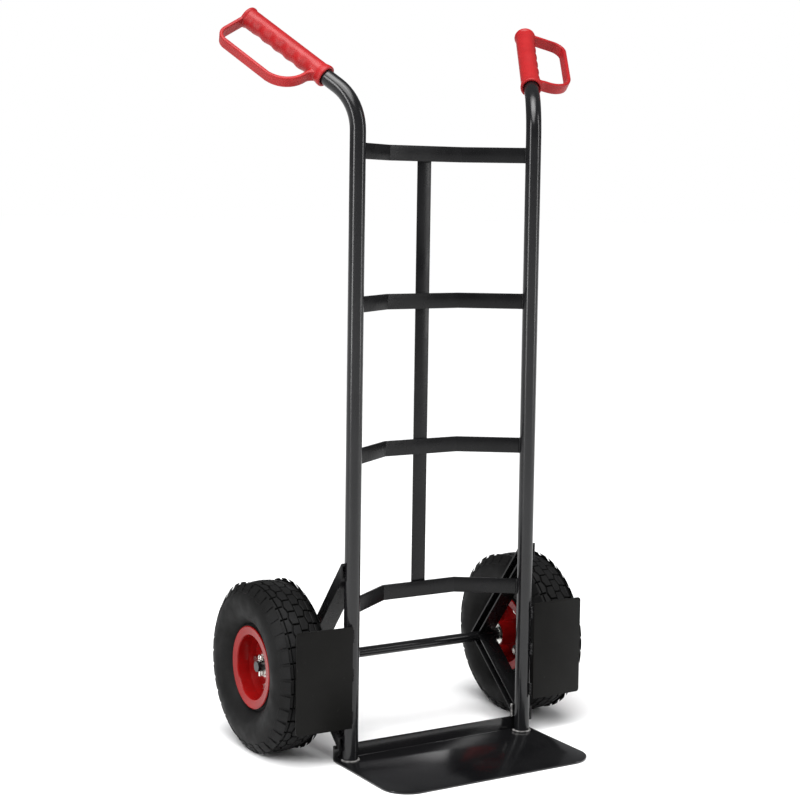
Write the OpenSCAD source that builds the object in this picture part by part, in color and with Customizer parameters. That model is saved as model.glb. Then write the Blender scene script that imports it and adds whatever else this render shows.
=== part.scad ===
// Hand truck with two pneumatic wheels. Sizes in millimetres, +Z up.
// +X is the right-hand side, +Y is behind the load, and the toe plate reaches towards -Y.
// The origin is on the floor, midway between the axes of the two uprights.

/* [Frame] */
// Distance between the axes of the two uprights
upright_gap = 314; // [270:1:385]
// Outside diameter of an upright tube
tube_d = 24; // [20:0.5:29]
// Wall thickness of an upright tube
tube_wall = 2; // [1.5:0.25:3]
// Height at which an upright's line meets its grip's line
bend_height = 986; // [820:1:1190]
// Radius of the bend, to the middle of the tube
bend_radius = 80; // [60:1:96]
// Rise of the grips above level, in degrees
grip_rise = 33.5; // [26:0.5:45]
// Outward turn of the grips, in degrees
grip_splay = 30; // [0:1:40]

/* [Crossbars] */
// Height of the flat bar that the crossbars and strap are made of
bar_h = 24; // [20:1:32]
// Thickness of the crossbars
bar_t = 4; // [3:0.5:6]
// Distance that the middle of a crossbar is set back
bar_setback = 64; // [40:1:78]
// Length of a crossbar's straight middle, between its two bends
bar_middle = 131; // [100:1:160]
// Drop from the bend height to the top edge of the top crossbar
top_bar_drop = 59; // [57:1:90]
// Height of the top edge of the bottom crossbar
bottom_bar_top = 248; // [205:1:300]
// Height of the top edge of the upper middle crossbar
upper_bar_top = 700; // [580:1:720]
// Height of the top edge of the lower middle crossbar
lower_bar_top = 473; // [390:1:550]
// Thickness of the centre strap
strap_t = 3; // [2:0.5:5]

/* [Toe plate] */
// Width of the toe plate
plate_w = 357; // [310:1:430]
// Depth of the toe plate, upstand included
plate_depth = 186; // [155:1:225]
// Thickness of the toe plate
plate_t = 3; // [2.5:0.25:6]
// Height of the upstand's top edge above the floor
upstand_h = 24; // [18:1:29]
// Radius of the toe plate's two front corners
plate_corner = 42; // [20:1:60]

/* [Wheels] */
// Outside diameter of a tyre
tyre_d = 260; // [216:1:312]
// Width of a tyre
tyre_w = 90; // [86:1:100]
// Distance from an upright's axis to its wheel's middle plane
wheel_offset = 76; // [72:1:92]
// Diameter of the axle
axle_d = 16; // [14:0.5:17]
// Outside diameter of a rim's flanges
rim_flange_d = 126; // [120:1:130]
// Width of a rim over both flanges
rim_w = 66; // [60:1:70]
// Diameter of the bolt circle in a rim
bolt_circle = 69; // [64:1:72]

/* [Guards and braces] */
// Width of a wheel guard
guard_w = 93; // [74:1:112]
// Height of a wheel guard
guard_h = 154; // [125:1:186]
// Height of a guard's bottom edge above the floor
guard_low = 57; // [30:1:70]
// Thickness of a guard
guard_t = 3; // [2:0.5:4]
// Distance from the uprights' plane forward to a guard's front face
guard_front = 18.5; // [16.5:0.5:20]
// Clear space between a guard and its tyre
guard_gap = 2.2; // [1.5:0.1:12]
// Turn of a guard back towards its tyre, in degrees
guard_turn = 2; // [0:0.5:4]
// Width of a brace, across its channel
brace_w = 17; // [14:1:22]
// Depth of a brace's channel, from its open side to its back
brace_depth = 29; // [24:1:32]
// Distance from an upright's axis in to the open side of its braces
brace_in = 10; // [8:1:11]
// Thickness of a brace's walls
brace_t = 2.5; // [2:0.25:2.5]
// Height at which the upper brace meets the back of an upright
brace_top = 289; // [255:1:345]

/* [Grips] */
// Thickness of a grip round the tube
grip_wall = 3.5; // [2:0.25:4.25]
// Distance from the bend's corner to the near end of a grip
grip_start = 66; // [62:1:84]
// Length of a grip
grip_length = 168; // [145:1:202]
// Distance from a grip's axis to the middle of its guard loop
loop_reach = 67; // [60:0.5:82]
// Width of a guard loop's strip
loop_w = 17; // [12:1:22]
// Thickness of a guard loop's strip
loop_t = 5; // [4:0.5:7]
// Turn of the right guard loop below level, in degrees
loop_turn_right = 19; // [0:1:40]
// Turn of the left guard loop below level, in degrees
loop_turn_left = 35; // [0:1:40]

/* [Hidden] */
$fn = 64;
tube_r = tube_d / 2;
up_x = upright_gap / 2;
axle_r = axle_d / 2;
axle_z = tyre_d / 2;
wheel_x = up_x + wheel_offset;

// Bend of the uprights
bend_angle = 90 - grip_rise;
bend_cut = bend_radius * tan(bend_angle / 2);
grip_end = grip_start + grip_length;
grip_cap = 7;
tube_end = grip_end - grip_cap;

// Crossbars
top_bar = bend_height - top_bar_drop;
bar_span = top_bar - bottom_bar_top;

// Toe plate
plate_back = tube_r + plate_t;
plate_front = plate_back - plate_depth;

// Guards, and the axle that stands clear behind them
guard_x = up_x + tube_r - 4.5;
guard_back = guard_front - guard_t;
guard_reach = (wheel_x - guard_x) * tan(guard_turn);
axle_back = tyre_d / 2 + guard_gap + guard_reach - guard_back;

// Braces, as points [y, z] seen from the side
brace_x = up_x - brace_in;
brace_bottom = upstand_h + 4;
apex = [axle_back + 18, axle_z + 2];
upper_foot = [tube_r, brace_top];
lower_foot = [tube_r, brace_bottom];
upper_run = (upper_foot - apex) / norm(upper_foot - apex);
lower_run = (lower_foot - apex) / norm(lower_foot - apex);
upper_in = [-upper_run[1], upper_run[0]];
lower_in = [lower_run[1], -lower_run[0]];

// Wheels, measured from the middle plane: outboard is positive
rim_r = rim_flange_d / 2;
seat_r = rim_r - 12.2;
rim_t = 2;
hub_in = -46;
hub_out = 10;
hub_r = 20;
bearing_r = 17.5;
bearing_w = 11;
core_r = 10.5;
core_proud = 0.5;
running_gap = 0.08;
bolt_r = 4;
bolt_gap = 0.2;
bolt_ring = bolt_circle / 2;
tread_w = tyre_w - 12;
crown_r = 90;
wall_r = 36;
wall_y = tyre_w / 2 - wall_r;
wall_mid = tyre_d / 2 - 32;
bead_y = rim_w / 2 - 3;
tyre_in = tyre_d / 2 - 12;
axle_end = wheel_x + hub_out + 13;

black = [0.07, 0.07, 0.075];
red = [0.72, 0.06, 0.06];
rim_red = [0.62, 0.04, 0.04];
rubber = [0.10, 0.10, 0.10];
zinc = [0.75, 0.76, 0.78];

// Where two lines in a plane meet, each given as a point and a direction
function meet(p, u, q, v) =
  p + u * ((q[0] - p[0]) * v[1] - (q[1] - p[1]) * v[0]) / (u[0] * v[1] - u[1] * v[0]);

// The braces' mitre at a depth k inside their outer edges
function mitre(k) = meet(apex + k * upper_in, upper_run, apex + k * lower_in, lower_run);

// A brace's end, on the plane of the upright's axis, at the same depth
function brace_end(k, run, inward) = meet(apex + k * inward, run, [0, 0], [0, 1]);

// Everything on the left is the mirror image of the right
module left() {
  mirror([1, 0, 0])
    children();
}

// Turns a shape's own Z into the X direction
module along_x(x) {
  translate([x, 0, 0])
    rotate([0, 90, 0])
      children();
}

// Puts a wheel piece, drawn about Z with outboard upwards, in its place
module on_axle() {
  translate([wheel_x, axle_back, axle_z])
    rotate([0, 90, 0])
      children();
}

// Puts a piece on the right grip's line, with Z pointing along the grip
module on_grip() {
  translate([up_x, 0, bend_height])
    rotate([0, 0, -grip_splay])
      rotate([-bend_angle, 0, 0])
        children();
}

// The outline that fills one upright, used to cut what meets it
module upright_core(r, low) {
  translate([up_x, 0, low])
    cylinder(h = bend_height - bend_cut - low, r = r);
}

module tube(length) {
  difference() {
    cylinder(h = length, r = tube_r);
    translate([0, 0, -1])
      cylinder(h = length + 2, r = tube_r - tube_wall);
  }
}

module tube_ring() {
  difference() {
    circle(tube_r);
    circle(tube_r - tube_wall);
  }
}

// A straight tube, the bend, and the straight end that carries the grip
module upright_right() {
  color(black)
    translate([up_x, 0, 0])
      rotate([0, 0, -grip_splay]) {
        translate([0, 0, plate_t])
          tube(bend_height - bend_cut - plate_t);
        translate([0, bend_radius, bend_height - bend_cut])
          rotate([90, 0, -90]) {
            rotate_extrude(angle = bend_angle)
              translate([bend_radius, 0])
                tube_ring();
            rotate([0, 0, bend_angle])
              translate([bend_radius, 0, 0])
                rotate([-90, 0, 0])
                  tube(tube_end - bend_cut);
          }
      }
}

// One crossbar, from tube to tube, with its ends cut to fit round the tubes
module crossbar(top) {
  mid = bar_middle / 2;
  run = [up_x - mid, -bar_setback];
  side = [-run[1], run[0]] * bar_t / 2 / norm(run);
  inner = meet([mid, bar_setback] - side, run, [0, bar_setback - bar_t / 2], [1, 0]);
  outer = meet([mid, bar_setback] + side, run, [0, bar_setback + bar_t / 2], [1, 0]);
  foot = [up_x, 0];
  color(black)
    difference() {
      translate([0, 0, top - bar_h])
        linear_extrude(height = bar_h)
          polygon([foot - side, inner, [-inner[0], inner[1]], [-foot[0] + side[0], -side[1]],
            [-foot[0] - side[0], side[1]], [-outer[0], outer[1]], outer, foot + side]);
      upright_core(tube_r, 100);
      left()
        upright_core(tube_r, 100);
    }
}

module crossbar_top() {
  crossbar(top_bar);
}

module crossbar_upper() {
  crossbar(upper_bar_top);
}

module crossbar_lower() {
  crossbar(lower_bar_top);
}

module crossbar_bottom() {
  crossbar(bottom_bar_top);
}

module centre_strap() {
  color(black)
    translate([-bar_h / 2, bar_setback + bar_t / 2, bottom_bar_top - bar_h])
      cube([bar_h, strap_t, bar_span + bar_h]);
}

// The toe plate's outline from above, with its two front corners rounded
module plate_outline() {
  half = plate_w / 2;
  translate([-half, plate_front + plate_corner])
    square([plate_w, plate_depth - plate_corner]);
  translate([-half + plate_corner, plate_front])
    square([plate_w - 2 * plate_corner, plate_corner + 1]);
  for (s = [-1, 1])
    translate([s * (half - plate_corner), plate_front + plate_corner])
      circle(plate_corner);
}

// The toe plate from the side, folded up behind the uprights
module plate_side() {
  fold = plate_t + 1;
  translate([plate_front - 1, 0])
    square([plate_depth + 1 - fold, plate_t]);
  translate([plate_back - plate_t, fold])
    square([plate_t, upstand_h - fold]);
  translate([plate_back - fold, fold])
    intersection() {
      difference() {
        circle(fold);
        circle(fold - plate_t);
      }
      translate([0, -fold])
        square([fold, fold]);
    }
}

module toe_plate() {
  color(black)
    intersection() {
      translate([0, 0, -1])
        linear_extrude(height = upstand_h + 2)
          plate_outline();
      translate([-plate_w / 2 - 1, 0, 0])
        rotate([90, 0, 90])
          linear_extrude(height = plate_w + 2)
            plate_side();
    }
}

module guard_outline() {
  r = 5;
  square([guard_w - r, guard_h]);
  translate([0, r])
    square([guard_w, guard_h - 2 * r]);
  for (z = [r, guard_h - r])
    translate([guard_w - r, z])
      circle(r);
}

module guard_right() {
  color(black)
    translate([guard_x, -guard_front, guard_low])
      rotate([90, 0, guard_turn])
        translate([0, 0, -guard_t])
          linear_extrude(height = guard_t)
            guard_outline();
}

// Short weld runs that bridge each guard to its upright
module guard_weld(share) {
  difference() {
    translate([guard_x - 1, 1.5 - guard_back, guard_low + share * guard_h - 9])
      cylinder(h = 18, r = 5.5);
    upright_core(tube_r, 10);
    translate([guard_x, -guard_front, 0])
      rotate([0, 0, guard_turn])
        translate([-30, guard_t - 20, 0])
          cube([60, 20, guard_low + guard_h]);
  }
}

module guard_welds() {
  color(black)
    for (share = [0.1, 0.52, 0.9]) {
      guard_weld(share);
      left()
        guard_weld(share);
    }
}

// Weld fillet round the foot of each upright, on the toe plate
module base_weld() {
  difference() {
    translate([up_x, 0, plate_t])
      rotate_extrude()
        polygon([[tube_r, 0], [tube_r + 4, 0], [tube_r, 4]]);
    translate([0, plate_back - plate_t - 2.1, 0])
      cube([2 * up_x, 40, 40]);
  }
}

module base_welds() {
  color(black) {
    base_weld();
    left()
      base_weld();
  }
}

module brace_band(k0, k1, run, inward, x0, x1) {
  translate([x0, 0, 0])
    rotate([90, 0, 90])
      linear_extrude(height = x1 - x0)
        polygon([mitre(k0), brace_end(k0, run, inward), brace_end(k1, run, inward), mitre(k1)]);
}

// A brace is a channel: a web on the outboard side and a flange along each edge
module brace(run, inward) {
  x1 = brace_x + brace_depth;
  color(black)
    difference() {
      union() {
        brace_band(0, brace_w, run, inward, x1 - brace_t, x1);
        brace_band(0, brace_t, run, inward, brace_x, x1);
        brace_band(brace_w - brace_t, brace_w, run, inward, brace_x, x1);
      }
      upright_core(tube_r, 0);
      translate([0, axle_back, axle_z])
        along_x(0)
          cylinder(h = wheel_x, r = axle_r);
    }
}

module brace_upper_right() {
  brace(upper_run, upper_in);
}

module brace_lower_right() {
  brace(lower_run, lower_in);
}

module axle() {
  color(black)
    difference() {
      translate([0, axle_back, axle_z])
        along_x(-axle_end)
          cylinder(h = 2 * axle_end, r = axle_r);
      for (s = [-1, 1])
        translate([s * (axle_end - 6.5), axle_back, axle_z - axle_r - 1])
          cylinder(h = axle_d + 2, r = 2.2);
    }
}

// Sleeve between a brace and its wheel's inner bearing
module spacer() {
  x0 = brace_x + brace_depth;
  x1 = wheel_x + hub_in - core_proud;
  translate([0, axle_back, axle_z])
    along_x(x0)
      difference() {
        cylinder(h = x1 - x0, r = core_r - 0.5);
        translate([0, 0, -1])
          cylinder(h = x1 - x0 + 2, r = axle_r);
      }
}

module spacers() {
  color(zinc) {
    spacer();
    left()
      spacer();
  }
}

module axle_washer() {
  on_axle()
    translate([0, 0, hub_out + core_proud])
      difference() {
        cylinder(h = 2.5, r = 15);
        translate([0, 0, -1])
          cylinder(h = 5, r = axle_r);
      }
}

module axle_washers() {
  color(zinc) {
    axle_washer();
    left()
      axle_washer();
  }
}

module split_pin() {
  translate([axle_end - 6.5, axle_back, axle_z]) {
    translate([0, 0, -axle_r - 7])
      cylinder(h = axle_d + 9, r = 2.2);
    translate([0, 0, axle_r + 5])
      rotate([0, 90, 0])
        rotate_extrude()
          translate([3.8, 0])
            circle(1.6);
  }
}

module split_pins() {
  color(zinc) {
    split_pin();
    left()
      split_pin();
  }
}

// The bearings' inner rings, fixed on the axle and a little proud of the hub
module bearing_pair_core() {
  on_axle()
    for (z = [hub_in - core_proud, hub_out - bearing_w])
      translate([0, 0, z])
        difference() {
          cylinder(h = bearing_w + core_proud, r = core_r);
          translate([0, 0, -1])
            cylinder(h = bearing_w + 3, r = axle_r);
        }
}

module bearing_cores() {
  color(zinc) {
    bearing_pair_core();
    left()
      bearing_pair_core();
  }
}

// A grip's guard loop from the side: x is the reach from the grip, y runs along the grip
module loop_outline() {
  half = loop_t / 2;
  near_r = 40;
  far_r = 18;
  near = grip_start + 20;
  far = grip_end - loop_t / 2;
  translate([tube_r + 1, far - half])
    square([loop_reach - far_r - tube_r - 1, loop_t]);
  translate([loop_reach - far_r, far - far_r])
    corner_band(far_r, 0);
  translate([loop_reach - half, near + near_r])
    square([loop_t, far - far_r - near - near_r]);
  translate([loop_reach - near_r, near + near_r])
    corner_band(near_r, -90);
  translate([tube_r + 1, near - half])
    square([loop_reach - near_r - tube_r - 1, loop_t]);
}

module corner_band(r, turn) {
  rotate(turn)
    intersection() {
      difference() {
        circle(r + loop_t / 2);
        circle(r - loop_t / 2);
      }
      square(2 * r);
    }
}

module grip(turn) {
  lip = 1.5;
  grip_d = tube_d + 2 * grip_wall;
  scoop_r = 15;
  scoop_in = grip_d / 2 - 1.6 + scoop_r;
  color(red)
    on_grip()
      rotate([0, 0, turn])
        difference() {
          union() {
            translate([0, 0, grip_start])
              cylinder(h = grip_length, r = grip_d / 2);
            translate([0, 0, grip_start])
              cylinder(h = 5, r = grip_d / 2 + lip);
            translate([0, 0, grip_start + 5])
              cylinder(h = 5, r1 = grip_d / 2 + lip, r2 = grip_d / 2);
            translate([0, 0, grip_end - 4])
              cylinder(h = 4, r = grip_d / 2 + lip);
            rotate([90, 0, 0])
              linear_extrude(height = loop_w, center = true)
                loop_outline();
          }
          translate([0, 0, grip_start - 1])
            cylinder(h = tube_end - grip_start + 1, r = tube_r);
          for (i = [0:4])
            translate([scoop_in, 0, grip_start + 36 + i * 24])
              rotate([90, 0, 0])
                cylinder(h = 60, r = scoop_r, center = true);
        }
}

module grip_right() {
  grip(loop_turn_right);
}

module grip_left() {
  left()
    grip(loop_turn_left);
}

// The rounded shape of a tyre's section, cut off at low and high: x is the distance from the axle
module tyre_round(r, low, high) {
  intersection() {
    union() {
      translate([wall_mid - r, -wall_y])
        square([2 * r, 2 * wall_y]);
      for (y = [-wall_y, wall_y])
        translate([wall_mid, y])
          circle(r);
    }
    translate([low, -tyre_w])
      square([high - low, 2 * tyre_w]);
  }
}

// The space inside a tyre, made smaller all round by a gap
module tyre_hollow(gap) {
  low = seat_r + rim_t + gap;
  tyre_round(wall_r - 8 - gap, low, tyre_in - gap);
  translate([low, -bead_y + 13 + gap])
    square([wall_mid - 20 - low, 2 * (bead_y - 13 - gap)]);
}

module tyre_section() {
  difference() {
    union() {
      tyre_round(wall_r, seat_r, tyre_d / 2 - 8);
      intersection() {
        translate([tyre_d / 2 - crown_r, 0])
          circle(crown_r);
        translate([wall_mid, -tread_w / 2])
          square([40, tread_w]);
      }
      translate([seat_r, -bead_y])
        square([18, 2 * bead_y]);
    }
    tyre_hollow(0);
    translate([seat_r - 1, -bead_y + 13])
      square([10, 2 * (bead_y - 13)]);
    for (s = [-1, 1])
      translate([tyre_d / 2 - 6, s * tread_w / 6 - 2])
        square([20, 4]);
  }
}

module tyre_right() {
  color(rubber)
    on_axle()
      rotate_extrude()
        tyre_section();
}

module inner_tube_right() {
  color([0.2, 0.2, 0.2])
    on_axle()
      rotate_extrude()
        difference() {
          tyre_hollow(0.4);
          tyre_hollow(2.4);
        }
}

// One pressed half of a rim: x is the distance from the axle, and y runs outboard
module rim_section() {
  half = rim_w / 2;
  inside = seat_r - rim_t;
  polygon([[hub_r, 0], [inside - 2, 0], [seat_r, 9], [seat_r, half - 3], [rim_r - 1, half - 3],
    [rim_r, half - 2], [rim_r, half - 0.6], [rim_r - 1.5, half], [rim_r - 5, half - 0.5],
    [inside + 1, half - 1.5], [inside, half - 3], [inside, 9 + rim_t],
    [inside - 3, rim_t], [hub_r, rim_t]]);
}

module rim_half() {
  difference() {
    rotate_extrude()
      rim_section();
    for (a = [0:90:270])
      rotate([0, 0, a])
        translate([bolt_ring, 0, -1])
          cylinder(h = rim_t + 2, r = bolt_r + bolt_gap);
  }
}

module rim_outer_right() {
  color(rim_red)
    on_axle()
      rim_half();
}

module rim_inner_right() {
  color(rim_red)
    on_axle()
      difference() {
        mirror([0, 0, 1])
          rim_half();
        valve_line()
          cylinder(h = 60, r = 4);
      }
}

// Straight housing that carries a bearing in each end, welded through the rim
module hub_right() {
  color(rim_red)
    on_axle()
      difference() {
        translate([0, 0, hub_in])
          cylinder(h = hub_out - hub_in, r = hub_r);
        translate([0, 0, hub_in - 1])
          cylinder(h = bearing_w + 1, r = bearing_r);
        translate([0, 0, hub_out - bearing_w])
          cylinder(h = bearing_w + 1, r = bearing_r);
        translate([0, 0, hub_in])
          cylinder(h = hub_out - hub_in, r = bearing_r - 2.5);
      }
}

// A bearing's outer ring with a shield at each face
module bearing_ring() {
  rotate_extrude()
    difference() {
      translate([core_r + running_gap, 0])
        square([bearing_r - core_r - running_gap, bearing_w]);
      translate([core_r - 1, 1])
        square([4.5, bearing_w - 2]);
    }
}

module bearing_rings_right() {
  color(zinc)
    on_axle()
      for (z = [hub_in, hub_out - bearing_w])
        translate([0, 0, z])
          bearing_ring();
}

module each_bolt() {
  for (a = [0:90:270])
    rotate([0, 0, a])
      translate([bolt_ring, 0, 0])
        children();
}

module rim_bolts_right() {
  color(zinc)
    on_axle()
      each_bolt() {
        translate([0, 0, -rim_t - 9])
          cylinder(h = 2 * rim_t + 9, r = bolt_r);
        translate([0, 0, rim_t])
          cylinder(h = 5.5, d = 14, $fn = 6);
      }
}

module rim_nuts_right() {
  color(zinc)
    on_axle()
      each_bolt()
        translate([0, 0, -rim_t - 6.5])
          difference() {
            cylinder(h = 6.5, d = 14, $fn = 6);
            translate([0, 0, -1])
              cylinder(h = 9, r = bolt_r);
          }
}

// The valve leaves the well of the inboard rim half and slants inwards
module valve_line() {
  rotate([0, 0, -50])
    translate([seat_r + 1, 0, -8])
      rotate([0, -130, 0])
        children();
}

module valve_right() {
  color([0.12, 0.12, 0.12])
    on_axle()
      valve_line() {
        cylinder(h = 24, r = 4);
        translate([0, 0, 24])
          cylinder(h = 6, r = 3);
      }
}

left() upright_right();  // upright_left
upright_right();
crossbar_top();
crossbar_upper();
crossbar_lower();
crossbar_bottom();
centre_strap();
toe_plate();
left() guard_right();  // guard_left
guard_right();
left() brace_upper_right();  // brace_upper_left
brace_upper_right();
left() brace_lower_right();  // brace_lower_left
brace_lower_right();
axle();
spacers();
axle_washers();
split_pins();
bearing_cores();
base_welds();
guard_welds();
grip_left();
grip_right();
left() tyre_right();  // tyre_left
tyre_right();
left() inner_tube_right();  // inner_tube_left
inner_tube_right();
left() rim_outer_right();  // rim_outer_left
rim_outer_right();
left() rim_inner_right();  // rim_inner_left
rim_inner_right();
left() hub_right();  // hub_left
hub_right();
left() bearing_rings_right();  // bearing_rings_left
bearing_rings_right();
left() rim_bolts_right();  // rim_bolts_left
rim_bolts_right();
left() rim_nuts_right();  // rim_nuts_left
rim_nuts_right();
left() valve_right();  // valve_left
valve_right();
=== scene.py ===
# %% [markdown]
# # A sack truck, dressed around its CAD frame
# A sack truck is two bent tubes joined by flat bars, a steel toe plate that slides under the load,
# and two air-filled wheels behind flat steel guards. The CAD frame already holds every part at its
# real size, so this lesson keeps that frame and works on what the eye judges: rolled sheet edges,
# tread, moulded grips, weld beads and the way each finish takes light.

# %% Load the frame
import math
import bmesh
import bpy
from mathutils import Matrix, Vector


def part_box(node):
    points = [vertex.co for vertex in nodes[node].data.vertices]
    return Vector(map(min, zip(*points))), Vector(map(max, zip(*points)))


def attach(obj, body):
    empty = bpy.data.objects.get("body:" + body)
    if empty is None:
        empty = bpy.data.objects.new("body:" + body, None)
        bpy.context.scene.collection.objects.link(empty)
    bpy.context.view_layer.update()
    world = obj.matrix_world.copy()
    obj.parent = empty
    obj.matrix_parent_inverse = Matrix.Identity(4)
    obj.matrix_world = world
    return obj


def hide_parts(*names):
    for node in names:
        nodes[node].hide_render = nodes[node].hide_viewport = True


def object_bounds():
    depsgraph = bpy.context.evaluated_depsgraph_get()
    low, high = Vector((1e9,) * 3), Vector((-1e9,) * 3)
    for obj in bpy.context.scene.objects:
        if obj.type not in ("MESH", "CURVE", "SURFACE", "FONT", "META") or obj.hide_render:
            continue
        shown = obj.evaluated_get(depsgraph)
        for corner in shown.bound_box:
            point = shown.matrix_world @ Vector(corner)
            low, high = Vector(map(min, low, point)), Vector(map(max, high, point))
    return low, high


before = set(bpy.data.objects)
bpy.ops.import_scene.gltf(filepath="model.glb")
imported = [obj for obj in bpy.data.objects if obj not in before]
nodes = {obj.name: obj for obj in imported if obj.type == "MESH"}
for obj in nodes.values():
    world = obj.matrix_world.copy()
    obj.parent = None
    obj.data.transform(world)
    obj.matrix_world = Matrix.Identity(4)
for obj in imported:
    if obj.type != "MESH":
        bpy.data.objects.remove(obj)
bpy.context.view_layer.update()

scene = bpy.context.scene

# %% [markdown]
# ## Camera
# The truck is seen from its front left, from a little above the crossbars. A long lens keeps the
# two uprights almost parallel. A camera looks along its own minus Z, so the view direction and a
# small roll give all three axes of its matrix. The shift only slides the frame down a little. The
# Standard view keeps paper white and paint black, where a filmic one would lift both to grey.

# %% Place the camera
yaw, pitch, roll = math.radians(31.129), math.radians(4.592), math.radians(0.843)
look = Vector((math.sin(yaw) * math.cos(pitch), math.cos(yaw) * math.cos(pitch), -math.sin(pitch)))
level_right = Vector((math.cos(yaw), -math.sin(yaw), 0))
level_up = level_right.cross(look)
view_right = math.cos(roll) * level_right + math.sin(roll) * level_up
view_up = math.cos(roll) * level_up - math.sin(roll) * level_right
camera = bpy.data.objects.new("camera", bpy.data.cameras.new("camera"))
scene.collection.objects.link(camera)
camera.matrix_world = Matrix((
    (view_right.x, view_up.x, -look.x, -1.435005),
    (view_right.y, view_up.y, -look.y, -2.243625),
    (view_right.z, view_up.z, -look.z, 0.844971),
    (0, 0, 0, 1)))
camera.data.sensor_width = 36
camera.data.lens = 79.006
camera.data.shift_y = -0.075
scene.camera = camera
scene.view_settings.view_transform = "Standard"
print("lens", camera.data.lens, "mm")

# %% [markdown]
# ## Floor and light
# Gloss paint shows its surroundings, so the light is planned as a set of reflections. A pale floor
# reaches far enough to have no visible edge. Tall soft panels beside the truck draw the long thin
# highlights down its tubes, and a dim square panel behind is what the toe plate mirrors. A ray that
# bounces off the plate keeps its direction across the floor and turns upwards, which gives the spot
# for that panel. The panels light the truck but are hidden from the camera.

# %% Lay the floor
low_corner, high_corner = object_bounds()
floor_mesh = bpy.data.meshes.new("floor")
reach = 60
floor_mesh.from_pydata([(-reach, -reach, 0), (reach, -reach, 0), (reach, reach, 0), (-reach, reach, 0)],
                       [], [(0, 1, 2, 3)])
floor = bpy.data.objects.new("floor", floor_mesh)
scene.collection.objects.link(floor)
floor.location.z = low_corner.z - 0.0005
paper = bpy.data.materials.new("studio_paper")
paper.use_nodes = True
paper_shader = paper.node_tree.nodes["Principled BSDF"]
paper_shader.inputs["Base Color"].default_value = (0.93, 0.93, 0.93, 1)
paper_shader.inputs["Roughness"].default_value = 0.9
paper_shader.inputs["Specular IOR Level"].default_value = 0.1
floor_mesh.materials.append(paper)
print("floor at", round(1000 * floor.location.z, 1), "mm")

# %% Hang the light panels
def light_panel(name, place, aim, width, height, power):
    """A rectangular soft light at place, turned to face aim."""
    lamp = bpy.data.lights.new(name, "AREA")
    lamp.shape = "RECTANGLE"
    lamp.size, lamp.size_y, lamp.energy = width, height, power
    panel = bpy.data.objects.new(name, lamp)
    panel.location = place
    panel.rotation_euler = (Vector(aim) - Vector(place)).to_track_quat("-Z", "Y").to_euler()
    panel.visible_camera = False
    scene.collection.objects.link(panel)


middle = (low_corner + high_corner) / 2
light_panel("panel_left", (-2.6, -0.4, 1.3), middle, 0.45, 2.2, 34)
light_panel("panel_right", (1.9, -1.7, 1.3), middle, 0.4, 2.2, 20)
light_panel("panel_over", (-0.3, -0.4, 3.0), middle, 2.2, 1.4, 40)
light_panel("panel_behind", (1.62, 3.0, 1.2), (0, 0, 0), 0.95, 0.95, 3.6)
sun = bpy.data.objects.new("sky_fill", bpy.data.lights.new("sky_fill", "SUN"))
sun.data.energy = 3.5
sun.data.angle = math.radians(50)
sun.rotation_euler = (math.radians(24), math.radians(-22), 0)
scene.collection.objects.link(sun)

# %% Wrap the room in white
room = bpy.data.worlds.new("white_room")
room.use_nodes = True
scene.world = room
wires = room.node_tree
wires.nodes.clear()
seen = wires.nodes.new("ShaderNodeBackground")
seen.inputs["Color"].default_value = (1, 1, 1, 1)
seen.inputs["Strength"].default_value = 1.0
lit = wires.nodes.new("ShaderNodeBackground")
lit.inputs["Color"].default_value = (0.97, 0.98, 1, 1)
lit.inputs["Strength"].default_value = 0.18
ray = wires.nodes.new("ShaderNodeLightPath")
choice = wires.nodes.new("ShaderNodeMixShader")
sky = wires.nodes.new("ShaderNodeOutputWorld")
wires.links.new(ray.outputs["Is Camera Ray"], choice.inputs[0])
wires.links.new(lit.outputs[0], choice.inputs[1])
wires.links.new(seen.outputs[0], choice.inputs[2])
wires.links.new(choice.outputs[0], sky.inputs[0])
print("light panels hung around", [round(v, 3) for v in middle])

# %% [markdown]
# ## Finishes
# Every finish here is one Principled shader fed by three noises on Object coordinates: a broad one
# that drifts the colour, a middle one that moves the roughness so that highlights break up, and a
# fine one that becomes bump. Most finishes add flecks from a fourth. Powder coat and rubber differ
# in colour, roughness and the sizes and depths of these noises.

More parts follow.
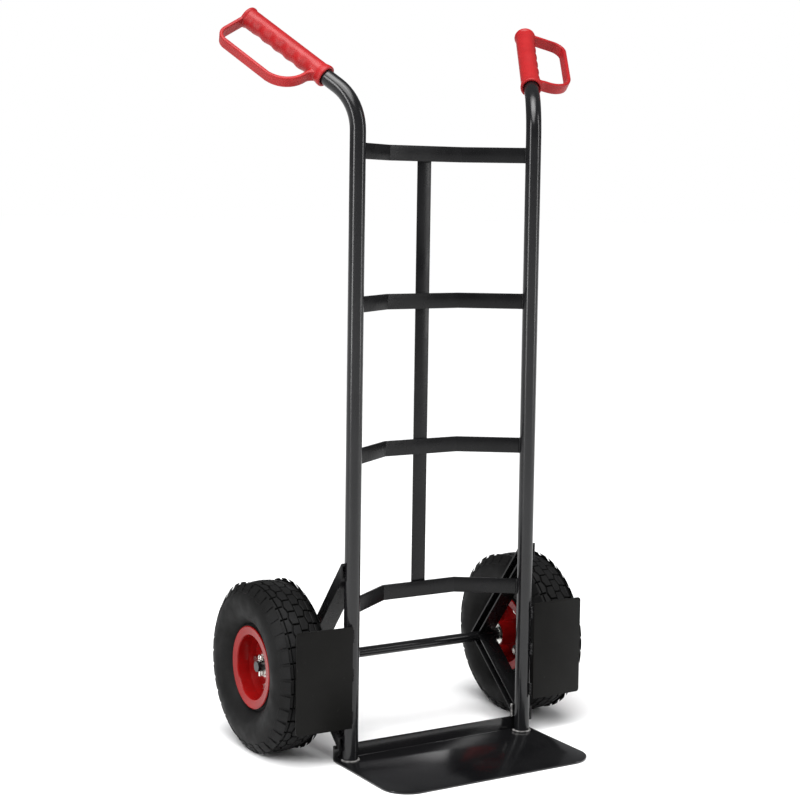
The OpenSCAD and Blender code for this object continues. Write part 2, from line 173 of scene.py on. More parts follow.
# %% A recipe for a finish
def finish(name, dark, light, rough, patch=9.0, smear=40.0, grain=900.0, depth=0.00005,
           metal=0.0, shine=0.5, coat=0.0, stretch=(1, 1, 1), fleck=None, fleck_amount=0.0):
    """A material whose colour, roughness and bump all vary; scales are per metre, depth in metres."""
    material = bpy.data.materials.new(name)
    material.use_nodes = True
    tree = material.node_tree
    shader = tree.nodes["Principled BSDF"]
    shader.inputs["Metallic"].default_value = metal
    shader.inputs["Specular IOR Level"].default_value = shine
    shader.inputs["Coat Weight"].default_value = coat
    shader.inputs["Coat Roughness"].default_value = 0.06
    spot = tree.nodes.new("ShaderNodeTexCoord")
    scale = tree.nodes.new("ShaderNodeMapping")
    scale.inputs["Scale"].default_value = stretch
    tree.links.new(spot.outputs["Object"], scale.inputs["Vector"])

    def noise(size, detail, roughness=0.55):
        node = tree.nodes.new("ShaderNodeTexNoise")
        node.inputs["Scale"].default_value = size
        node.inputs["Detail"].default_value = detail
        node.inputs["Roughness"].default_value = roughness
        tree.links.new(scale.outputs["Vector"], node.inputs["Vector"])
        return node.outputs["Fac"]

    drift = tree.nodes.new("ShaderNodeValToRGB")
    drift.color_ramp.elements[0].position = 0.32
    drift.color_ramp.elements[1].position = 0.7
    drift.color_ramp.elements[0].color = (*dark, 1)
    drift.color_ramp.elements[1].color = (*light, 1)
    tree.links.new(noise(patch, 5), drift.inputs["Fac"])
    colour = drift.outputs["Color"]
    if fleck:
        specks = tree.nodes.new("ShaderNodeMapRange")
        specks.inputs["From Min"].default_value = 0.66
        specks.inputs["From Max"].default_value = 0.78
        specks.inputs["To Max"].default_value = fleck_amount
        tree.links.new(noise(smear * 4, 3, 0.7), specks.inputs["Value"])
        dusted = tree.nodes.new("ShaderNodeMix")
        dusted.data_type = "RGBA"
        tree.links.new(specks.outputs["Result"], dusted.inputs["Factor"])
        tree.links.new(colour, dusted.inputs[6])
        dusted.inputs[7].default_value = (*fleck, 1)
        colour = dusted.outputs[2]
    tree.links.new(colour, shader.inputs["Base Color"])
    gloss = tree.nodes.new("ShaderNodeMapRange")
    gloss.inputs["From Min"].default_value = 0.3
    gloss.inputs["From Max"].default_value = 0.7
    gloss.inputs["To Min"].default_value = rough[0]
    gloss.inputs["To Max"].default_value = rough[1]
    tree.links.new(noise(smear, 4), gloss.inputs["Value"])
    tree.links.new(gloss.outputs["Result"], shader.inputs["Roughness"])
    bump = tree.nodes.new("ShaderNodeBump")
    bump.inputs["Strength"].default_value = 1.0
    bump.inputs["Distance"].default_value = depth
    tree.links.new(noise(grain, 3), bump.inputs["Height"])
    tree.links.new(bump.outputs["Normal"], shader.inputs["Normal"])
    return material


# %% Mix the finishes
powder_coat = finish("powder_coat", (0.0034, 0.0034, 0.0037), (0.0072, 0.0072, 0.0077), (0.22, 0.34),
                     patch=7, smear=26, grain=420, depth=0.000006, shine=0.20,
                     fleck=(0.04, 0.04, 0.04), fleck_amount=0.2)
tube_coat = finish("tube_coat", (0.0045, 0.0045, 0.0050), (0.0090, 0.0090, 0.0098), (0.15, 0.24),
                   patch=7, smear=18, grain=380, depth=0.000005, shine=0.40,
                   fleck=(0.04, 0.04, 0.04), fleck_amount=0.15)
plate_coat = finish("plate_coat", (0.004, 0.004, 0.0045), (0.007, 0.007, 0.0075), (0.13, 0.19),
                    patch=9, smear=9, grain=300, depth=0.000004, shine=0.5,
                    fleck=(0.05, 0.05, 0.05), fleck_amount=0.15)
guard_coat = finish("guard_coat", (0.0034, 0.0033, 0.0030), (0.0066, 0.0064, 0.0059), (0.40, 0.52),
                    patch=8, smear=30, grain=420, depth=0.000008, shine=0.10,
                    fleck=(0.07, 0.07, 0.065), fleck_amount=0.3)
grip_plastic = finish("grip_plastic", (0.26, 0.007, 0.009), (0.35, 0.012, 0.013), (0.34, 0.46),
                      patch=16, smear=60, grain=1500, depth=0.000006, shine=0.24)
rim_paint = finish("rim_paint", (0.17, 0.003, 0.003), (0.25, 0.005, 0.005), (0.14, 0.26),
                   patch=12, smear=36, grain=380, depth=0.000008, shine=0.12, coat=0.05,
                   fleck=(0.12, 0.02, 0.02), fleck_amount=0.5)
tyre_rubber = finish("tyre_rubber", (0.0034, 0.0034, 0.0033), (0.0080, 0.0080, 0.0082), (0.52, 0.72),
                     patch=14, smear=50, grain=1300, depth=0.00005, shine=0.12,
                     fleck=(0.04, 0.039, 0.036), fleck_amount=0.4)
valve_rubber = finish("valve_rubber", (0.012, 0.012, 0.012), (0.02, 0.02, 0.02), (0.5, 0.66),
                      patch=40, smear=90, grain=2400, depth=0.00004, shine=0.35)
zinc_plate = finish("zinc_plate", (0.50, 0.49, 0.46), (0.72, 0.71, 0.68), (0.20, 0.38),
                    patch=70, smear=160, grain=2600, depth=0.00004, metal=1.0,
                    fleck=(0.30, 0.25, 0.18), fleck_amount=0.5)
weld_steel = finish("weld_steel", (0.02, 0.02, 0.021), (0.34, 0.33, 0.32), (0.26, 0.5),
                    patch=120, smear=260, grain=1500, depth=0.00015, metal=0.7)
slot_finish = {"frame_paint": powder_coat, "grip_plastic": grip_plastic, "rim_paint": rim_paint,
               "tyre_rubber": tyre_rubber, "valve_rubber": valve_rubber, "zinc": zinc_plate}
print(len(slot_finish), "slots have a finish")

# %% [markdown]
# ## Give each CAD part its finish
# A part's finish follows from its name: rims and hubs are rim paint, washers and bolts are zinc, and
# a part that no rule names is frame paint. A list of every node would do as well, but rules are
# shorter. A few parts then get a variation of the frame's paint: the toe plate is glossier than the
# rest because boxes polish it, and the guards are flatter.

# %% Dress the CAD nodes
def slot_of(node):
    """The finish slot that a CAD node's name stands for."""
    if node.startswith("grip"):
        return "grip_plastic"
    if node.startswith(("rim_outer", "rim_inner", "hub")):
        return "rim_paint"
    if node.startswith(("tyre", "inner_tube")):
        return "tyre_rubber"
    if node.startswith("valve"):
        return "valve_rubber"
    if node.startswith(("axle_washers", "split_pins", "bearing", "rim_bolts", "rim_nuts")):
        return "zinc"
    return "frame_paint"


special = {"toe_plate": plate_coat, "guard_left": guard_coat, "guard_right": guard_coat,
           "axle": tube_coat, "upright_left": tube_coat, "upright_right": tube_coat}
for node, part in nodes.items():
    part.data.materials.clear()
    part.data.materials.append(special.get(node, slot_finish[slot_of(node)]))
print("slots in use:", sorted({slot_of(n) for n in nodes}))

# %% [markdown]
# ## Rolled edges
# Sheet steel is never knife sharp: shearing, blasting and paint leave a small radius that catches a
# line of light. The CAD mesh is loose triangles, so a copy has its doubles merged and its flat
# faces joined before a Bevel rounds only the edges that turn sharply. The copy replaces the node.

# %% Soften the edges of flat parts
def softened(node, radius, rounds=2):
    """A copy of a CAD node with small rounded edges, which stands for the node."""
    copy = bpy.data.objects.new(node + "_soft", nodes[node].data.copy())
    scene.collection.objects.link(copy)
    shape = bmesh.new()
    shape.from_mesh(copy.data)
    bmesh.ops.remove_doubles(shape, verts=shape.verts, dist=0.00001)
    bmesh.ops.dissolve_limit(shape, angle_limit=math.radians(0.6), verts=shape.verts, edges=shape.edges)
    sharp = [e for e in shape.edges if len(e.link_faces) == 2 and e.calc_face_angle(0) > math.radians(32)]
    bmesh.ops.bevel(shape, geom=sharp, offset=radius, segments=rounds, profile=0.5,
                    affect="EDGES", clamp_overlap=True)
    bmesh.ops.triangulate(shape, faces=[f for f in shape.faces if len(f.verts) > 4])
    shape.to_mesh(copy.data)
    shape.free()
    if "custom_normal" in copy.data.attributes:
        copy.data.attributes.remove(copy.data.attributes["custom_normal"])
    copy.data.shade_smooth()
    copy.data.set_sharp_from_angle(angle=math.radians(34))
    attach(copy, "frame")
    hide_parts(node)
    return copy


flat_parts = {"toe_plate": 0.0009, "guard_left": 0.0008, "guard_right": 0.0008,
              "crossbar_top": 0.0008, "crossbar_upper": 0.0008, "crossbar_lower": 0.0008,
              "crossbar_bottom": 0.0008, "centre_strap": 0.0006,
              "brace_upper_left": 0.0006, "brace_upper_right": 0.0006,
              "brace_lower_left": 0.0006, "brace_lower_right": 0.0006}
for node, radius in flat_parts.items():
    part = softened(node, radius)
    print(node, len(part.data.polygons), "faces")

# %% [markdown]
# ## Tyres
# A pneumatic sack truck tyre has a smooth sidewall and a block tread: two rows of shoulder pads, a
# staggered centre row split by a fine slit, and lugs that run over the shoulder, so the outline is
# notched. The carcass is one section spun round the axle. The tread repeats at every step round the
# wheel, so one step is modelled and Geometry Nodes place it, turned about the axle.

# %% Measure the tyre
tread_steps = 35
tyre_low, tyre_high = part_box("tyre_right")
axle_y, axle_z = (tyre_low.y + tyre_high.y) / 2, (tyre_low.z + tyre_high.z) / 2
wheel_x = (tyre_low.x + tyre_high.x) / 2
tyre_r = (tyre_high.z - tyre_low.z) / 2
tyre_half = (tyre_high.x - tyre_low.x) / 2
print("tyre", round(2000 * tyre_r), "mm across and", round(2000 * tyre_half), "mm wide")

# %% Draw the carcass section
groove = 0.0042
wall_r, wall_mid = 0.036, tyre_r - 0.032
wall_x = tyre_half - wall_r
carcass_crown = 0.086


def carcass_section():
    """Half of the tyre's outline, from the middle of the tread to the bead, as (out, radius)."""
    half = []
    crown = tyre_r - groove
    for i in range(9):
        a = math.radians(90 - i * 2.8)
        half.append((carcass_crown * math.cos(a), crown - carcass_crown + carcass_crown * math.sin(a)))
    for i in range(22):
        a = math.radians(56 - i * 6.1)
        half.append((wall_x + wall_r * math.cos(a), wall_mid + wall_r * math.sin(a)))
    half = [p for p in half if p[1] > 0.0655]
    ridge = []
    for out, r in half:
        low_line = 0.0006 * math.exp(-((r - 0.083) / 0.0012) ** 2)
        high_line = 0.0005 * math.exp(-((r - 0.109) / 0.001) ** 2)
        ridge.append((out + (low_line + high_line), r))
    ridge += [(0.0295, 0.064), (0.0298, 0.058), (0.0298, 0.0515)]
    return ridge


def lathe(section, turns, name):
    """Spins points (out, radius) round the axle line at the wheel's own middle."""
    shape = bmesh.new()
    rings = []
    for k in range(turns):
        a = 2 * math.pi * k / turns
        rings.append([shape.verts.new((out, r * math.cos(a), r * math.sin(a))) for out, r in section])
    for k in range(turns):
        here, there = rings[k], rings[(k + 1) % turns]
        for i in range(len(section)):
            j = (i + 1) % len(section)
            shape.faces.new((here[i], here[j], there[j], there[i]))
    bmesh.ops.recalc_face_normals(shape, faces=shape.faces)
    mesh = bpy.data.meshes.new(name)
    shape.to_mesh(mesh)
    shape.free()
    return mesh


half = carcass_section()
outline = half + [(-out, r) for out, r in reversed(half) if out > 0.00001]
carcass = lathe(outline, 140, "carcass")
print("carcass", len(carcass.polygons), "faces")

# %% [markdown]
# The crown is an arc across the tread. A point is given by how far it is across the tread, how far
# along it, and how deep below the crown. Past the edge of the tread the lugs follow the sidewall.

# %% Wrap points on to the crown
crown_r = 0.090
tread_edge = 0.039


def on_tread(across, along, depth):
    """A point of the tread, with across and along in metres on its surface."""
    side = 1 if across >= 0 else -1
    reach = abs(across)
    a = along / tyre_r
    lean = math.asin(min(reach, tread_edge) / crown_r)
    out = (crown_r - depth) * math.sin(lean)
    r = tyre_r - crown_r + (crown_r - depth) * math.cos(lean)
    if reach > tread_edge:
        b = math.radians(56) - (reach - tread_edge) / wall_r
        skin = 0.0026 * max(0.0, 1 - (reach - tread_edge) / 0.022) + 0.0004
        out = wall_x + (wall_r + skin - depth) * math.cos(b)
        r = wall_mid + (wall_r + skin - depth) * math.sin(b)
        out = min(out, tyre_half - 0.0001)
    return Vector((side * out, r * math.cos(a), r * math.sin(a)))


def tread_block(shape, left, right, start, end, rows=4, chamfer=0.0007):
    """A block between two edge lines, each given as a function of along; start and end close it."""
    base = groove + 0.0012
    levels = [(0.0, chamfer), (chamfer, 0.0), (base, -0.0005)]
    rings = []
    for depth, inset in levels:
        lo, hi = start + inset, end - inset
        alongs = [lo + (hi - lo) * i / rows for i in range(rows + 1)]
        up = [(left(v) + inset, v) for v in alongs]
        down = [(right(v) - inset, v) for v in reversed(alongs)]
        rings.append([shape.verts.new(on_tread(u, v, depth)) for u, v in up + down])
    count = len(rings[0])
    for upper, lower in zip(rings, rings[1:]):
        for i in range(count):
            j = (i + 1) % count
            shape.faces.new((upper[i], upper[j], lower[j], lower[i]))
    top = rings[0]
    for i in range(rows):
        shape.faces.new((top[i], top[i + 1], top[count - 2 - i], top[count - 1 - i]))
    foot = rings[-1]
    for i in range(rows):
        shape.faces.new((foot[i], foot[count - 1 - i], foot[count - 2 - i], foot[i + 1]))


# %% [markdown]
# One step of the tread holds four blocks on each side: two pads, half of the centre row and a lug.
# Each could be cut from a plain box, but a block drawn between two edge lines takes the zigzag
# straight from a formula. The far side is the same shape, half a step further on.

# %% Model one step of the tread
step = 2 * math.pi * tyre_r / tread_steps
gap, slit = 0.0027, 0.0014
pad_split, pad_edge, lug_start, lug_end = 0.0232, 0.0365, 0.0388, 0.0545


def zigzag(v):
    """The edge that the centre row and the inner pads share, swinging once a step."""
    t = (v / step) % 1.0
    return 0.0118 + 0.0032 * abs(2 * t - 1)


tread = bmesh.new()
for side in (1, -1):
    shift = 0.0 if side > 0 else step * 0.5

    def mirrored(line, side=side):
        return (lambda v: side * line(v))

    def place(low_line, high_line, start, end, side=side):
        if side > 0:
            tread_block(tread, low_line, high_line, start, end)
        else:
            tread_block(tread, mirrored(high_line), mirrored(low_line), start, end)

    place(lambda v: zigzag(v - shift) + gap / 2, lambda v: pad_split - slit / 2,
          shift + gap / 2, shift + step - gap / 2)
    place(lambda v: pad_split + slit / 2,
          lambda v: pad_edge + 0.0012 * math.cos(2 * math.pi * (v - shift) / step),
          shift + gap / 2 + 0.0006, shift + step - gap / 2 + 0.0006)
    place(lambda v: slit / 2, lambda v: zigzag(v - shift) - gap / 2,
          shift + step * 0.5 + gap / 2, shift + step * 1.5 - gap / 2)
    place(lambda v: lug_start, lambda v: lug_end + 0.0030 * math.sin(math.pi * (v - shift) / step),
          shift + step * 0.14, shift + step * 0.95)
bmesh.ops.recalc_face_normals(tread, faces=tread.faces)
tread_mesh = bpy.data.meshes.new("tread_step")
tread.to_mesh(tread_mesh)
tread.free()
tread_step = bpy.data.objects.new("tread_step", tread_mesh)
print("one step of tread:", len(tread_mesh.polygons), "faces,", round(1000 * step, 1), "mm long")


# %% [markdown]
# An Array modifier with a turned object could repeat the step, but a node tree keeps the number of
# steps as one named input. The tree makes one point for each copy, turns the copy about the axle by
# an even share of a full turn, then makes the copies real and gives them rubber.

# %% Build the tree that repeats the tread
def new_tree(name, sockets):
    """An empty Geometry Nodes tree with named inputs given as (name, type, default)."""
    tree = bpy.data.node_groups.new(name, "GeometryNodeTree")
    tree.interface.new_socket("Geometry", in_out="INPUT", socket_type="NodeSocketGeometry")
    tree.interface.new_socket("Geometry", in_out="OUTPUT", socket_type="NodeSocketGeometry")
    keys = {}
    for label, kind, value in sockets:
        made = tree.interface.new_socket(label, in_out="INPUT", socket_type=kind)
        if value is not None:
            made.default_value = value
        keys[label] = made.identifier
    return tree, keys, tree.nodes.new("NodeGroupInput"), tree.nodes.new("NodeGroupOutput")


tread_tree, tread_keys, given, result = new_tree("repeat_round_axle", [
    ("Step Shape", "NodeSocketObject", None), ("Steps", "NodeSocketInt", tread_steps),
    ("Rubber", "NodeSocketMaterial", None)])
add, join = tread_tree.nodes.new, tread_tree.links.new
points = add("GeometryNodePoints")
shape_info = add("GeometryNodeObjectInfo")
placed = add("GeometryNodeInstanceOnPoints")
index = add("GeometryNodeInputIndex")
share = add("ShaderNodeMath")
share.operation = "DIVIDE"
turn = add("ShaderNodeMath")
turn.operation = "MULTIPLY"
turn.inputs[1].default_value = 2 * math.pi
angles = add("ShaderNodeCombineXYZ")
together = add("GeometryNodeJoinGeometry")
realised = add("GeometryNodeRealizeInstances")
rubbered = add("GeometryNodeSetMaterial")
join(given.outputs["Steps"], points.inputs["Count"])
join(given.outputs["Step Shape"], shape_info.inputs["Object"])
join(points.outputs[0], placed.inputs["Points"])
join(shape_info.outputs["Geometry"], placed.inputs["Instance"])
join(index.outputs[0], share.inputs[0])
join(given.outputs["Steps"], share.inputs[1])
join(share.outputs[0], turn.inputs[0])
join(turn.outputs[0], angles.inputs["X"])
join(angles.outputs[0], placed.inputs["Rotation"])
join(placed.outputs[0], together.inputs[0])
join(given.outputs["Geometry"], together.inputs[0])
join(together.outputs[0], realised.inputs[0])
join(realised.outputs[0], rubbered.inputs["Geometry"])
join(given.outputs["Rubber"], rubbered.inputs["Material"])
join(rubbered.outputs[0], result.inputs[0])


def settle(obj, name):
    """Freezes an object's modifiers into a plain mesh on a fresh object."""
    bpy.context.view_layer.update()
    graph = bpy.context.evaluated_depsgraph_get()
    mesh = bpy.data.meshes.new_from_object(obj.evaluated_get(graph))
    mesh.name = name
    bpy.data.objects.remove(obj)
    plain = bpy.data.objects.new(name, mesh)
    scene.collection.objects.link(plain)
    return plain


# %% [markdown]
# The same tyre goes on both sides, mirrored so that each tread points the same way along its wheel.
# A mirrored mesh is turned inside out, so its faces are flipped back. The finished tyre is one
# closed ring round the inner tube, not a hollow shell, because nobody sees inside it.

# %% Make both tyres
def shaded(mesh, degrees=34):
    """Smooth shading that keeps edges sharper than this many degrees."""
    mesh.shade_smooth()
    mesh.set_sharp_from_angle(angle=math.radians(degrees))


def tyre(side, x):
    """Carcass and tread on one wheel, whose middle lies at x."""
    seed = bpy.data.objects.new("tyre_seed", carcass.copy())
    scene.collection.objects.link(seed)
    repeat = seed.modifiers.new("tread", "NODES")
    repeat.node_group = tread_tree
    repeat[tread_keys["Step Shape"]] = tread_step
    repeat[tread_keys["Steps"]] = tread_steps
    repeat[tread_keys["Rubber"]] = tyre_rubber
    made = settle(seed, "tyre_tread_" + side)
    flip = -1 if side == "left" else 1
    made.data.transform(Matrix.Translation((x, axle_y, axle_z)) @ Matrix.Scale(flip, 4, (1, 0, 0)))
    if flip < 0:
        made.data.flip_normals()
    shaded(made.data)
    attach(made, "wheel_" + side)
    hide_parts("tyre_" + side)
    return made


for side, x in (("left", -wheel_x), ("right", wheel_x)):
    made = tyre(side, x)
    print(made.name, len(made.data.polygons), "faces")

# %% [markdown]
# ## Grips
# Each grip is one plastic moulding: a sleeve with finger scoops on one side, a flange at its end
# and a strap that loops round the knuckles. Its parts are drawn as closed shells, the sleeve as a
# lathe shape whose radius also depends on the angle, and the strap as a rounded section carried
# along a path. A voxel remesh then fuses the shells and a little smoothing leaves the soft fillets
# that a mould leaves.

# %% Set out the sleeve
grip_near, grip_far = 0.066, 0.234
sleeve_r, bore_r, lip_r = 0.0155, 0.01215, 0.0172
bend_height, bend_angle, grip_splay = 0.986, math.radians(56.5), math.radians(30)
tube_r = 0.012
upright_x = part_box("upright_right")[0].x + tube_r


def ease(t):
    """A soft step from 0 to 1."""
    t = max(0.0, min(1.0, t))
    return t * t * (3 - 2 * t)


def sleeve_radius(along, angle):
    """The sleeve's outer radius at a distance along the grip and an angle round from the strap."""
    r = sleeve_r
    r += (lip_r - sleeve_r) * (1 - ease((along - grip_near - 0.004) / 0.010))
    r += (lip_r - sleeve_r) * ease((along - grip_far + 0.0058) / 0.0012)
    facing = ease((math.cos(angle) - 0.25) / 0.6)
    inside = ease((along - grip_near - 0.022) / 0.006) * (1 - ease((along - grip_far + 0.022) / 0.006))
    wave = 0.5 + 0.5 * math.cos(2 * math.pi * (along - grip_near - 0.036) / 0.024)
    r -= 0.0019 * facing * inside * wave
    seam = abs(math.cos(angle))
    if seam < 0.03:
        r += 0.0003 * inside
    return r


def hoop(shape, turns, r, along):
    """A ring of vertices of one radius round the grip's own axis."""
    angles = [2 * math.pi * k / turns for k in range(turns)]
    return [shape.verts.new((r * math.cos(a), r * math.sin(a), along)) for a in angles]


def sleeve_shell(shape):
    """The sleeve as a closed shell: outside, end dome and bore."""
    turns, rings = 80, []
    stations = [grip_near + 0.001 * i for i in range(int((grip_far - grip_near) / 0.001) + 1)]
    for along in stations:
        ring = []
        for k in range(turns):
            a = 2 * math.pi * k / turns
            r = sleeve_radius(along, a)
            ends = max(0.0, 1 - min(along - grip_near, grip_far - along) / 0.0015)
            r -= 0.0008 * ends * ends
            ring.append(shape.verts.new((r * math.cos(a), r * math.sin(a), along)))
        rings.append(ring)
    dome = [(0.0120, grip_far + 0.0002), (0.006, grip_far + 0.0005)]
    bore = [(0.0138, grip_near - 0.0001), (bore_r, grip_near + 0.0022), (bore_r, grip_far - 0.0065)]
    for r, along in dome:
        rings.append(hoop(shape, turns, r, along))
    for low_ring, high_ring in zip(rings, rings[1:]):
        for k in range(turns):
            j = (k + 1) % turns
            shape.faces.new((low_ring[k], low_ring[j], high_ring[j], high_ring[k]))
    shape.faces.new(rings[-1])
    inner = [rings[0]]
    for r, along in bore:
        inner.append(hoop(shape, turns, r, along))
    for outer_ring, inner_ring in zip(inner, inner[1:]):
        for k in range(turns):
            j = (k + 1) % turns
            shape.faces.new((outer_ring[j], outer_ring[k], inner_ring[k], inner_ring[j]))
    shape.faces.new(list(reversed(inner[-1])))


# %% [markdown]
# The strap is a flat band that leaves the sleeve near the tube, turns along it and comes back at the
# far end. A bevelled curve could carry it, but a section moved along a list of points can also grow
# thicker at its root. Both ends start inside the sleeve, so that the remesh has something to fuse.

# %% Set out the strap
strap_reach, strap_t, strap_w = 0.067, 0.0057, 0.0182
near_leg, far_leg = grip_near + 0.020, grip_far - 0.0025
near_bend, far_bend = 0.040, 0.018
root_out = 0.0124
print("strap stands", round(1000 * strap_reach), "mm from the middle of the sleeve")


def strap_path():
    """Points (reach, along) down the middle of the strap, from the sleeve and back to it."""
    path = []
    for i in range(13):
        out = root_out + 0.0011 * i
        path.append((out, near_leg - 0.0040 * (1 - i / 12) ** 2))
    for i in range(1, 16):
        a = math.radians(-90 + 90 * i / 15)
        path.append((strap_reach - near_bend + near_bend * math.cos(a),
                     near_leg + near_bend + near_bend * math.sin(a)))
    top = far_leg - far_bend
    count = 24
    start = near_leg + near_bend
    path += [(strap_reach, start + (top - start) * i / count) for i in range(1, count + 1)]
    for i in range(1, 13):
        a = math.radians(90 * i / 12)
        path.append((strap_reach - far_bend + far_bend * math.cos(a), top + far_bend * math.sin(a)))
    first = strap_reach - far_bend
    path += [(first + (root_out - first) * i / 16, far_leg) for i in range(1, 17)]
    return path


def strap_shell(shape):
    """The strap as a closed shell: a rounded section carried along its path."""
    path = strap_path()
    rings = []
    for i, (reach_out, along) in enumerate(path):
        before, after = path[max(i - 1, 0)], path[min(i + 1, len(path) - 1)]
        run = Vector((after[0] - before[0], after[1] - before[1])).normalized()
        across = Vector((-run.y, run.x))
        root = max(0.0, 1 - (reach_out - 0.0132) / 0.013) if i < len(path) / 2 else 0.0
        t = strap_t / 2 + 0.0016 * root ** 2
        w = strap_w / 2
        r = 0.0013
        corners = [(t - r, w - r, 0), (-(t - r), w - r, 90),
                   (-(t - r), -(w - r), 180), (t - r, -(w - r), 270)]
        ring = []
        for x, y, base in corners:
            for step_angle in (0, 30, 60, 90):
                a = math.radians(base + step_angle)
                side_x, side_y = x + r * math.cos(a), y + r * math.sin(a)
                spot = Vector((reach_out, along)) + across * side_x
                ring.append(shape.verts.new((spot.x, side_y, spot.y)))
        rings.append(ring)
    count = len(rings[0])
    for here, there in zip(rings, rings[1:]):
        for k in range(count):
            j = (k + 1) % count
            shape.faces.new((here[k], here[j], there[j], there[k]))
    shape.faces.new(rings[0])
    shape.faces.new(list(reversed(rings[-1])))


# %% [markdown]
# A Boolean could join sleeve and strap, but it leaves a hard line between them. A voxel remesh makes
# one skin of both, and smoothing rounds the corner. Each grip is then laid along the bent end of its
# tube and turned on it, the left one mirrored. The print compares each grip with its CAD box.

# %% Mould both grips
def grip(side, turn_degrees):
    """One fused grip, turned on its tube by turn_degrees."""
    shape = bmesh.new()
    sleeve_shell(shape)
    strap_shell(shape)
    bmesh.ops.recalc_face_normals(shape, faces=shape.faces)
    mesh = bpy.data.meshes.new("grip_shells")
    shape.to_mesh(mesh)
    shape.free()
    draft = bpy.data.objects.new("grip_draft", mesh)
    scene.collection.objects.link(draft)
    fuse = draft.modifiers.new("fuse", "REMESH")
    fuse.mode = "VOXEL"
    fuse.voxel_size = 0.00095
    ease_edges = draft.modifiers.new("ease", "SMOOTH")
    ease_edges.factor = 0.5
    ease_edges.iterations = 9
    made = settle(draft, "grip_moulding_" + side)
    place = (Matrix.Translation((upright_x, 0, bend_height)) @ Matrix.Rotation(-grip_splay, 4, "Z")
             @ Matrix.Rotation(-bend_angle, 4, "X") @ Matrix.Rotation(math.radians(turn_degrees), 4, "Z"))
    made.data.transform(place)
    if side == "left":
        made.data.transform(Matrix.Scale(-1, 4, (1, 0, 0)))
        made.data.flip_normals()
    made.data.materials.clear()
    made.data.materials.append(grip_plastic)
    made.data.shade_smooth()
    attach(made, "frame")
    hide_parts("grip_" + side)
    return made


for side, turn_degrees in (("right", 19), ("left", 35)):
    made = grip(side, turn_degrees)
    low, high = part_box("grip_" + side)
    spots = [v.co for v in made.data.vertices]
    off = [round(1000 * (min(p[k] for p in spots) - low[k]), 1) for k in range(3)]
    off += [round(1000 * (max(p[k] for p in spots) - high[k]), 1) for k in range(3)]
    print(made.name, len(made.data.polygons), "faces, off the CAD box by", off, "mm")

# %% [markdown]
# ## Welds
# The frame is welded by hand, and a weld is a run of overlapping ripples, each a frozen pool of
# metal. A tree turns any drawn line into such a run: it walks the line at an even spacing, sets a
# flattened bead across it at each stop, varies its size a little and makes the beads real. The
# runs at the feet stay bright, and the others are under the paint.

# %% Build the tree that lays a weld
weld_tree, weld_keys, given, result = new_tree("weld_run", [
    ("Bead Spacing", "NodeSocketFloat", 0.0016), ("Bead Size", "NodeSocketFloat", 0.0022),
    ("Seed", "NodeSocketInt", 3), ("Metal", "NodeSocketMaterial", None)])
add, join = weld_tree.nodes.new, weld_tree.links.new
line = add("GeometryNodeMeshToCurve")
walk = add("GeometryNodeResampleCurve")
walk.mode = "LENGTH"
bead = add("GeometryNodeMeshUVSphere")
bead.inputs["Segments"].default_value = 10
bead.inputs["Rings"].default_value = 7
ahead = add("GeometryNodeInputTangent")
facing = add("FunctionNodeAlignRotationToVector")
facing.axis = "Z"
uneven = add("FunctionNodeRandomValue")
uneven.data_type = "FLOAT_VECTOR"
uneven.inputs[0].default_value = (0.80, 0.80, 0.50)
uneven.inputs[1].default_value = (1.08, 1.08, 0.72)
beads = add("GeometryNodeInstanceOnPoints")
real_beads = add("GeometryNodeRealizeInstances")
metal = add("GeometryNodeSetMaterial")
join(given.outputs["Geometry"], line.inputs[0])
join(line.outputs[0], walk.inputs["Curve"])
join(given.outputs["Bead Spacing"], walk.inputs["Length"])
join(given.outputs["Bead Size"], bead.inputs["Radius"])
join(ahead.outputs[0], facing.inputs["Vector"])
join(given.outputs["Seed"], uneven.inputs["Seed"])
join(walk.outputs[0], beads.inputs["Points"])
join(bead.outputs["Mesh"], beads.inputs["Instance"])
join(facing.outputs[0], beads.inputs["Rotation"])
join(uneven.outputs[0], beads.inputs["Scale"])
join(beads.outputs[0], real_beads.inputs[0])
join(real_beads.outputs[0], metal.inputs["Geometry"])
join(given.outputs["Metal"], metal.inputs["Material"])
join(metal.outputs[0], result.inputs[0])


# %% [markdown]
# Each run is drawn where two parts meet: round the front of an upright's foot, up the back of it,
# down a guard's edge in three stitches, and along both faces of every crossbar's end.

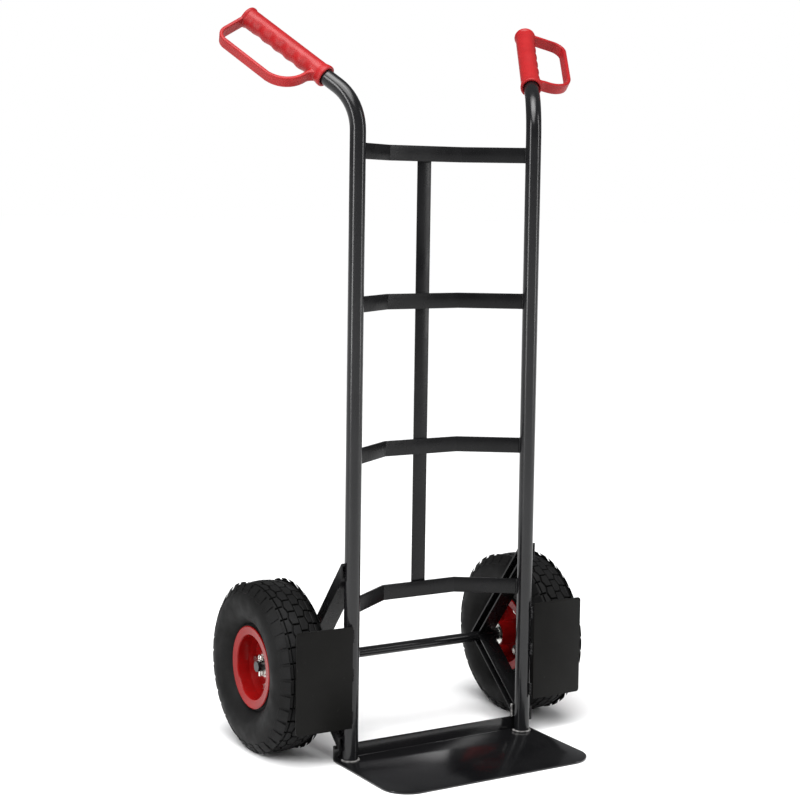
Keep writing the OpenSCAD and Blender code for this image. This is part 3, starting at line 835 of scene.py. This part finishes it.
# %% Lay the welds
def weld(name, runs, spacing, size, metal_finish, seed, instead=()):
    """One piece of weld along several runs, each a list of points."""
    mesh = bpy.data.meshes.new(name)
    spots, edges = [], []
    for run in runs:
        edges += [(len(spots) + i, len(spots) + i + 1) for i in range(len(run) - 1)]
        spots += run
    mesh.from_pydata(spots, edges, [])
    seed_line = bpy.data.objects.new(name + "_line", mesh)
    scene.collection.objects.link(seed_line)
    lay = seed_line.modifiers.new("lay", "NODES")
    lay.node_group = weld_tree
    lay[weld_keys["Bead Spacing"]] = spacing
    lay[weld_keys["Bead Size"]] = size
    lay[weld_keys["Seed"]] = seed
    lay[weld_keys["Metal"]] = metal_finish
    made = settle(seed_line, name)
    made.data.shade_smooth()
    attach(made, "frame")
    if instead:
        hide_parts(*instead)
    print(name, len(made.data.polygons), "faces")


plate_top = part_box("base_welds")[0].z
foot_runs, toe_runs = [], []
for s in (-1, 1):
    ring = [(s * (upright_x - (tube_r + 0.0010) * math.cos(math.radians(a))),
             -(tube_r + 0.0010) * math.sin(math.radians(a)), plate_top + 0.0008) for a in range(-24, 190, 6)]
    foot_runs.append(ring)
    toe_runs.append([(s * (upright_x - 0.0125), 0.0105, plate_top + z / 1000) for z in (22, 26, 31, 36, 41)])
weld("foot_welds", foot_runs, 0.0017, 0.0021, weld_steel, 3, instead=("base_welds",))
weld("brace_foot_welds", toe_runs, 0.0019, 0.0022, weld_steel, 5)

guard_low, guard_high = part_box("guard_right")
stitch_runs = []
for s in (-1, 1):
    for share in (0.1, 0.52, 0.9):
        mid = guard_low.z + share * (guard_high.z - guard_low.z)
        stitch_runs.append([(s * (guard_low.x - 0.0009), -0.0134, mid + z / 1000) for z in (-8, -4, 0, 4, 8)])
weld("guard_stitches", stitch_runs, 0.0021, 0.0036, powder_coat, 8, instead=("guard_welds",))

bar_runs = []
bar_side = 0.0026
for bar in ("crossbar_top", "crossbar_upper", "crossbar_lower", "crossbar_bottom"):
    low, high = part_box(bar)
    slope = math.atan2(high.y, upright_x - 0.0655)
    for s in (-1, 1):
        for face in (-1, 1):
            x = upright_x - tube_r * math.cos(slope) + face * bar_side * math.sin(slope)
            y = tube_r * math.sin(slope) + face * bar_side * math.cos(slope)
            bar_runs.append([(s * x, y, low.z + t * (high.z - low.z)) for t in (0.04, 0.35, 0.65, 0.96)])
weld("crossbar_welds", bar_runs, 0.0018, 0.0019, powder_coat, 11)
